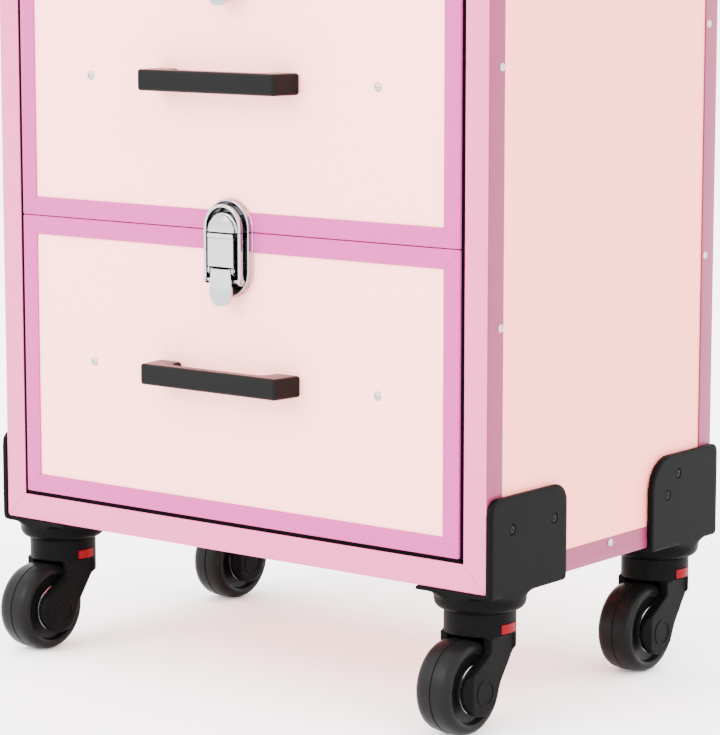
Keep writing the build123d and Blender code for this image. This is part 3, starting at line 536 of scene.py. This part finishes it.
def strike_pieces(name, seam, body, replaces):
    """The upper half: dish, stepped catch, and the band's round end on its posts."""
    place = latch_place(seam)
    dish_half(name, seam, True, body, replaces)
    mesh = bmesh.new()
    middle = DISH_UP - DISH_HALF
    path = [((BAND_MIDDLE, SPLIT), (1, 0))]
    for k in range(33):
        turn = math.radians(180 * k / 32)
        path.append(((BAND_MIDDLE * math.cos(turn), middle + BAND_MIDDLE * math.sin(turn)),
                     (math.cos(turn), math.sin(turn))))
    path.append(((-BAND_MIDDLE, SPLIT), (-1, 0)))
    follow(mesh, path, BAND_SECTION, place)
    post = [(0.0, 0.9), (0.9, 0.9), (0.6, 1.4), (0.6, 4.6), (0.0, 4.6)]
    for turn in (35, 90, 145):
        spot = arc((0, middle), BAND_MIDDLE, turn, turn, 1)[0]
        turned(mesh, post, place(*spot, 0), (0, -1, 0), 12)
    piece(f"{name}_band", mesh, body, CHROME)
    mesh = bmesh.new()
    profile = [(0.0, 0.9), (10.9, 0.9), (10.9, 6.3)] + arc((10.3, 6.4), 0.6, 0, 90, 4)
    profile += [(9.75, 7.15)] + arc((9.15, 8.2), 0.6, 0, 90, 4) + [(8.75, 8.9)]
    profile += arc((8.0, 8.7), 0.7, 15, 90, 4) + [(0.0, 9.4)]
    turned(mesh, profile, place(0, SPLIT, 0), (0, -1, 0), 40, start=0.0, sweep=180.0)
    keep_above(mesh, (seam + SPLIT) * MM)
    piece(f"{name}_catch", mesh, body, CHROME, sharp=50)


def keep_above(mesh, height):
    """Turns a half-round that was built below a height over to above it."""
    if min(v.co.z for v in mesh.verts) < height - 0.1 * MM:
        for vertex in mesh.verts:
            vertex.co.z = 2 * height - vertex.co.z


def base_pieces(name, seam, body, replaces):
    """The lower half: dish, and the bridge with its two cheeks."""
    dish_half(name, seam, False, body, replaces)
    place = latch_place(seam)
    mesh = bmesh.new()
    plate = rounded_rectangle((-BRIDGE_HALF, -19.7), (BRIDGE_HALF, -3.3), (0.6, 0.6, 0.6, 0.6), steps=3)
    prism(mesh, plate, BRIDGE_FRONT - 1.2, BRIDGE_FRONT, place)
    soften(piece(f"{name}_bridge", mesh, body, CHROME), 0.4)
    mesh = bmesh.new()
    outline = [(-3.3, 1.0), (-3.3, 8.4), (-19.7, 8.4), (-20.4, BRIDGE_FRONT)]
    outline += [(-23.0, BRIDGE_FRONT), (-24.4, 7.6), (-24.4, 4.0), (-22.0, 1.0)]
    for side in (-1, 1):
        across = (side * 8.2, side * BRIDGE_HALF)
        skin(mesh, [[place(u, up, depth) for up, depth in outline] for u in across])
    soften(piece(f"{name}_cheeks", mesh, body, CHROME), 0.2, segments=2)


def lever_pieces(number, seam):
    """The tab with its crowned face and lifted tip, the lugs behind it and the two pins."""
    place, body = latch_place(seam), f"latch_{number}_lever"
    top, wide, tip, top_half, wide_half = -21.0, -34.5, -42.0, 7.15, 8.3
    round_end = (wide_half ** 2 + (wide - tip) ** 2) / (2 * (wide - tip))
    rows, columns = 30, 12
    mesh = bmesh.new()
    rings = []
    for row in range(rows + 1):
        share = row / rows
        up = top + (tip + 0.02 - top) * math.sin(share * math.pi / 2)
        half = top_half + (wide_half - top_half) * (up - top) / (wide - top)
        if up < wide:
            half = math.sqrt(max(0.0, round_end ** 2 - (up - tip - round_end) ** 2))
        lift = 1.1 * max(0.0, (-30.0 - up) / 12.0) ** 2
        across = [half * (2 * k / columns - 1) for k in range(columns + 1)]
        crown = [0.25 * (1 - (u / wide_half) ** 2) for u in across]
        front = [place(u, up, BRIDGE_FRONT - 0.25 + lift + rise) for u, rise in zip(across, crown)]
        back = [place(u, up, BRIDGE_FRONT - 1.2 + lift) for u in across]
        rings.append(front + back[::-1])
    skin(mesh, rings)
    soften(piece(f"latch_{number}_tab", mesh, body, CHROME, [body], sharp=50), 0.3)
    mesh = bmesh.new()
    fulcrum, pivot = (-21.6, 7.6), (-27.5, 6.0)
    lug = arc(fulcrum, 1.6, 0, 160, 8) + arc(pivot, 2.3, 160, 340, 10)
    lug += [(pivot[0] - 1.0, 8.2), (-22.0, 8.4)]
    for side in (-1, 1):
        skin(mesh, [[place(side * u, up, depth) for up, depth in lug] for u in (6.15, 7.1)])
    turned_pin(mesh, place(0, *fulcrum), 1.0, 9.9)
    turned_pin(mesh, place(0, *pivot), 1.3, 14.6)
    piece(f"latch_{number}_lugs", mesh, body, CHROME, sharp=40)


def turned_pin(mesh, centre, radius, half):
    """A pin along X with chamfered ends."""
    profile = [(0.0, -half), (0.7 * radius, -half), (radius, 0.3 - half), (radius, half - 0.3),
               (0.7 * radius, half), (0.0, half)]
    turned(mesh, profile, centre, (1, 0, 0), 20)


def loop_pieces(number, seam):
    """The draw loop: two legs with eyes, and the bar under the seam with its front plate."""
    place, body = latch_place(seam), f"latch_{number}_loop"
    mesh = bmesh.new()
    for side in (-1, 1):
        legs = [((side * BAND_MIDDLE, up), (side, 0)) for up in (-SPLIT, -8.0, -16.0, -24.0, -27.0)]
        follow(mesh, legs, BAND_SECTION, place)
        eye = [(1.35, -0.75), (2.2, -0.75), (2.5, -0.45), (2.5, 0.45), (2.2, 0.75), (1.35, 0.75)]
        turned(mesh, eye, place(side * BAND_MIDDLE, -27.5, 6.0), (1, 0, 0), 28)
    piece(f"latch_{number}_legs", mesh, body, CHROME, [body])
    mesh = bmesh.new()
    bar = rounded_rectangle((-2.7, 4.4), (-0.5, 6.4), (0.5, 0.5, 0.5, 0.5), steps=3)
    skin(mesh, [[place(u, up, depth) for up, depth in bar] for u in (-BAND_MIDDLE, BAND_MIDDLE)])
    # The cross bar takes the darkened chrome, painted shade under the seam.
    piece(f"latch_{number}_cross_bar", mesh, body, SHADED_CHROME)
    mesh = bmesh.new()
    plate = rounded_rectangle((-BRIDGE_HALF, -3.22), (BRIDGE_HALF, -0.9), (0.02, 0.02, 0.6, 0.6), steps=3)
    prism(mesh, plate, 6.0, BRIDGE_FRONT, place)
    piece(f"latch_{number}_bar_plate", mesh, body, CHROME)


def latches():
    seams = [(corners_of(f"drawer_{k}_trim")[1].z + above) / 2 for k, above in (
        (1, corners_of("drawer_2_trim")[0].z), (2, corners_of("apron_trim")[0].z))]
    seams.append((CASE_HIGH.z + corners_of("lid_shell")[0].z) / 2)
    base_pieces("drawer_1_latch", seams[0], "drawer_1", ["drawer_1_latch_base"])
    strike_pieces("drawer_2_strike", seams[0], "drawer_2", ["drawer_2_latch_plates"])
    base_pieces("drawer_2_latch", seams[1], "drawer_2", [])
    strike_pieces("apron_strike", seams[1], "case", ["apron_latch_plates"])
    base_pieces("apron_latch", seams[2], "case", [])
    strike_pieces("lid_strike", seams[2], "lid", ["lid_strike"])
    for number, seam in enumerate(seams, start=1):
        lever_pieces(number, seam)
        loop_pieces(number, seam)


# ---- corner brackets ----
PLATE = 2.5
RISE = 52.6
WRAP = 30.0  # how far the rear brackets reach round the back
SCREW_SINK = 0.8
BRACKET_SCREWS = {-1: ((19.0, 34.0), (59.0, 34.0)), 1: ((41.5, 40.5), (52.5, 29.0))}


def bracket(name, side, end):
    """A moulded corner: side wall, foot plate and boss, melted into one piece."""
    low, high = corners_of(f"{name}_bracket")
    axis = joint_place(f"{name}_swivel")
    wall_out, reach = (high.x, low.x) if side > 0 else (low.x, high.x)
    mesh = bmesh.new()
    radii = (3.0, 3.0, 11.0, 8.0) if end < 0 else (4.0, 3.0, 5.0, 20.0)
    wall = rounded_rectangle((low.y, BOTTOM - PLATE), (high.y, BOTTOM + RISE), radii)
    skin(mesh, [[Vector((x, y, z)) for y, z in wall] for x in (side * SIDE, wall_out)])
    plate = rounded_rectangle((low.x, low.y), (high.x, high.y), (3.5, 3.5, 3.5, 3.5))
    prism(mesh, plate, BOTTOM - PLATE, BOTTOM - 0.02, lambda u, v, depth: Vector((u, v, depth)))
    if end > 0:
        ends = sorted((wall_out, side * (SIDE - WRAP)))
        wrap = rounded_rectangle(
            (ends[0], BOTTOM - PLATE), (ends[1], BOTTOM + RISE - 5), (3.0, 3.0, 5.0, 5.0),
        )
        prism(mesh, wrap, REAR + 0.02, high.y, lambda u, v, depth: Vector((u, depth, v)))
    flare = [(31.0 - 5.3 * math.sin(math.radians(a)), -2.3 - 4.5 * (1 - math.cos(math.radians(a))))
             for a in range(0, 91, 15)]
    boss = [(0.0, -1.0), (31.0, -1.0)] + flare + arc((20.7, -8.0), 5.0, 0, -78, 6) + [(0.0, -12.9)]
    turned(mesh, boss, Vector((axis.x, axis.y, BOTTOM)), (0, 0, 1), 64)
    for vertex in mesh.verts:
        spot = vertex.co / MM
        spot.x = min(max(spot.x, min(wall_out, axis.x - 25.7)), max(wall_out, axis.x + 25.7))
        spot.x = min(max(spot.x, low.x), high.x)
        spot.y = min(max(spot.y, low.y), high.y)
        vertex.co = spot * MM
    made = piece(f"{name}_corner", mesh, "case", PLASTIC, [f"{name}_bracket"])
    fuse(made, 0.8, 5)
    sink, heads = bmesh.new(), bmesh.new()
    hole = [(0.0, -SCREW_SINK), (2.6, -SCREW_SINK), (3.4, 0.1), (3.4, 3.0), (0.0, 3.0)]
    for inset, up in BRACKET_SCREWS[end]:
        spot = Vector((wall_out, (FRONT if end < 0 else REAR) - end * inset, BOTTOM + up))
        turned(sink, hole, spot, (side, 0, 0), 32)
        stud(heads, spot - Vector((side * SCREW_SINK, 0, 0)), (side, 0, 0), 2.4, 0.9, dimple=0.5)
    cutter = piece(f"{name}_screw_cutter", sink, "case", PLASTIC)
    cut = made.modifiers.new("screw_holes", "BOOLEAN")
    cut.operation = "DIFFERENCE"
    cut.solver = "EXACT"
    cut.object = cutter
    settle(made)
    made.data.set_sharp_from_angle(angle=math.radians(35))
    bpy.data.objects.remove(cutter)
    piece(f"{name}_screw_heads", heads, "case", COATED, sharp=50)


# ---- casters ----
WHEEL_HALF = 11.0
ARM_OUT = 17.5
ARM_IN = 12.3
# radius, lower and upper height, and half the turn in degrees
INSERT = (20.45, 54.9, 60.1, 18.5)
# A near-black plate a little larger than the insert: painted shadow line round the red insert.
INSERT_SHADE_PLATE = (20.2, 54.2, 60.4, 19.6)


def fork(name):
    """The fork from its CAD shape with moulded edges, its red inserts, cap rings and washers."""
    node, body = f"{name}_caster_fork", f"{name}_fork"
    axis, axle = joint_place(f"{name}_swivel"), joint_place(f"{name}_roll")
    mesh = bmesh.new()
    mesh.from_mesh(frame["nodes"][node].data)
    heel, shoulder = (-11.5, 17.5), (10.2, 48.0)  # behind the swivel axis, and above the floor
    fairing = [(2.0, 52.0), (10.2, 52.0), shoulder, heel, (-14.0, 20.0)]
    web = [(7.5, 47.0), (9.5, 47.0), (6.0, 39.0), (3.9, 39.0)]
    for outline, spans in ((fairing, ((-ARM_OUT, -ARM_IN), (ARM_IN, ARM_OUT))), (web, ((-13.0, 13.0),))):
        for span in spans:
            skin(mesh, [[Vector((axis.x + x, axis.y + back, z)) for back, z in outline] for x in span])
    made = piece(f"{name}_fork_moulding", mesh, body, PLASTIC, [node])
    made.data.materials.clear()
    fuse(made, 0.65, 5)
    made.data.materials.clear()
    made.data.materials.append(PLASTIC)
    red, shade = bmesh.new(), bmesh.new()
    for side in (-1, 1):
        for target, (radius, low, high, spread) in ((red, INSERT), (shade, INSERT_SHADE_PLATE)):
            turns = [side * spread * (k / 4 - 1) for k in range(9)]
            rings = []
            for turn in turns:
                spoke = Vector((side * math.cos(math.radians(turn)), math.sin(math.radians(turn)), 0))
                rings.append([
                    Vector((axis.x, axis.y, z)) + spoke * r
                    for r, z in ((18.0, low), (radius, low), (radius, high), (18.0, high))
                ])
            skin(target, rings)
    soften(piece(f"{name}_red_inserts", red, body, RED), 0.15, segments=2)
    # The near-black plates behind the inserts are painted shadow lines.
    piece(f"{name}_insert_shade_plates", shade, body, SHADE_BLACK)
    rings, washers = bmesh.new(), bmesh.new()
    washer = [(3.1, 0.0), (13.6, 0.0), (14.0, 0.25), (13.6, 0.5), (3.1, 0.5)]
    for side in (-1, 1):
        face = Vector((axis.x + side * ARM_OUT, axle.y + 1.5, axle.z - 1.5))
        ring = [(6.6, -0.3), (6.6, 0.15), (6.9, 0.4), (7.5, 0.4), (7.8, 0.15), (7.8, -0.3)]
        turned(rings, ring, face, (side, 0, 0), 40)
        hub = Vector((axis.x + side * WHEEL_HALF, axle.y, axle.z))
        turned(washers, washer, hub, (side, 0, 0), 48)
    piece(f"{name}_cap_rings", rings, body, PLASTIC)
    piece(f"{name}_washers", washers, body, STEEL)


def wheel(name):
    """A moulded wheel: a tread with a parting groove, bevelled shoulders and dished sides."""
    axle = joint_place(f"{name}_roll")
    rim = [(25.4, 0.2), (26.0, 0.5), (25.95, 5.5), (25.5, 8.2), (24.6, 10.0), (23.2, 11.2), (21.0, 11.3)]
    rim += [(20.1, 10.8), (19.6, 9.4), (19.0, 7.6), (17.5, 7.0), (11.6, 6.8), (10.4, 7.6), (9.6, 9.6)]
    rim += [(8.6, 10.6), (7.0, 10.8), (3.1, 10.8)]
    profile = [(radius, -across) for radius, across in rim[::-1]] + rim
    mesh = bmesh.new()
    turned(mesh, profile, Vector((axle.x, axle.y, axle.z)), (1, 0, 0), 96)
    node = f"{name}_caster_wheel"
    piece(f"{name}_tyre", mesh, f"{name}_wheel", TYRE, [node], sharp=40)


# ---- pull handle ----
GRIP_FOOT = 565.2  # underside of the grip
CLAMP_SCREW = 4.0  # in from the clamp's side
CLAMP_WIDTH = 24.0


def copy_of(node, body, surface, edge):
    """A copy of a CAD node's mesh with its sharp edges rounded by edge millimetres."""
    mesh = bmesh.new()
    mesh.from_mesh(frame["nodes"][node].data)
    made = piece(f"{node}_finished", mesh, body, surface, [node])
    made.data.materials.clear()
    made.data.materials.append(surface)
    for face in made.data.polygons:
        face.material_index = 0
    soften(made, edge)
    return made


def pull_handle():
    handle = copy_of("pull_handle", "pull_handle", PLASTIC, 0.8)
    handle.data.materials.append(TUBE)
    for face in handle.data.polygons:
        if face.center.z < GRIP_FOOT * MM:
            face.material_index = 1
    copy_of("pull_button", "pull_button", COATED, 0.4)
    copy_of("handle_clamps", "case", PLASTIC, 1.6)
    low, high = corners_of("handle_clamps")
    mesh = bmesh.new()
    for x in (low.x + CLAMP_SCREW, low.x + CLAMP_WIDTH - CLAMP_SCREW, high.x - CLAMP_SCREW,
              high.x - CLAMP_WIDTH + CLAMP_SCREW):
        for z in (low.z + 15.0, high.z - 16.0):
            stud(mesh, Vector((x, high.y - 0.1, z)), (0, 1, 0), 2.0, 0.9, dimple=0.4)
    piece("clamp_screws", mesh, "case", STEEL, sharp=50)


# ---- CAD nodes that keep their shape ----
def dress_nodes():
    """Gives each CAD node that still shows the finish of its material slot, with the side, rear and bottom panels
    in a darker laminate copy as painted shade.
    """
    slots = {part["node"]: part["material_slot"] for part in frame["record"]["subparts"]}
    for name, node in frame["nodes"].items():
        surface = FINISHES[slots[name]]
        # Side, rear and bottom panels take the darker laminate copy, painted shade.
        if name.endswith("side_panel") or name in ("rear_panel", "bottom_panel"):
            surface = SHADED_LAMINATE
        node.data.materials.clear()
        node.data.materials.append(surface)


# ---- camera, light and floor ----
def camera():
    """A viewpoint with a long lens from the front right, a little above the case."""
    data = bpy.data.cameras.new("camera")
    data.sensor_width = 36.0
    data.sensor_fit = "AUTO"
    data.lens = 144.4
    data.clip_end = 200.0
    made = bpy.data.objects.new("camera", data)
    made.location = (1.0837, -1.3749, 0.435)
    made.rotation_euler = (math.radians(90 - 8.463), 0.0, math.radians(38.145))
    bpy.context.scene.collection.objects.link(made)
    bpy.context.scene.camera = made


def area_light(name, place, target, size, power):
    data = bpy.data.lights.new(name, "AREA")
    data.shape = "DISK"
    data.size = size
    data.energy = power
    made = bpy.data.objects.new(name, data)
    made.location = place
    made.rotation_euler = (Vector(target) - Vector(place)).to_track_quat("-Z", "Y").to_euler()
    bpy.context.scene.collection.objects.link(made)


def studio():
    world = bpy.data.worlds.new("studio")
    bpy.context.scene.world = world
    world.use_nodes = True
    world.node_tree.nodes["Background"].inputs["Color"].default_value = (1.0, 1.0, 1.0, 1.0)
    world.node_tree.nodes["Background"].inputs["Strength"].default_value = 6.2
    area_light("key", (-0.9, -2.6, 1.9), (0.0, 0.0, 0.3), 1.6, 132.0)
    area_light("fill", (2.4, -1.0, 1.2), (0.0, 0.0, 0.3), 1.4, 30.0)
    mesh = bmesh.new()
    bmesh.ops.create_grid(mesh, x_segments=4, y_segments=4, size=40.0)
    data = bpy.data.meshes.new("floor")
    mesh.to_mesh(data)
    mesh.free()
    floor = bpy.data.objects.new("floor", data)
    floor.location.z = -0.0002
    data.materials.append(material("pale_floor", (252, 252, 252), 0.9, variation=0.003, patch=1, grain=50))
    bpy.context.scene.collection.objects.link(floor)


dress_nodes()
case_profiles()
front_gap_shade()
front_trims()
lid_trims()
front_screws()
side_rivets()
bar_pulls()
latches()
pull_handle()
for corner_name, (corner_side, corner_end) in CORNERS.items():
    bracket(corner_name, corner_side, corner_end)
    fork(corner_name)
    wheel(corner_name)
camera()
studio()
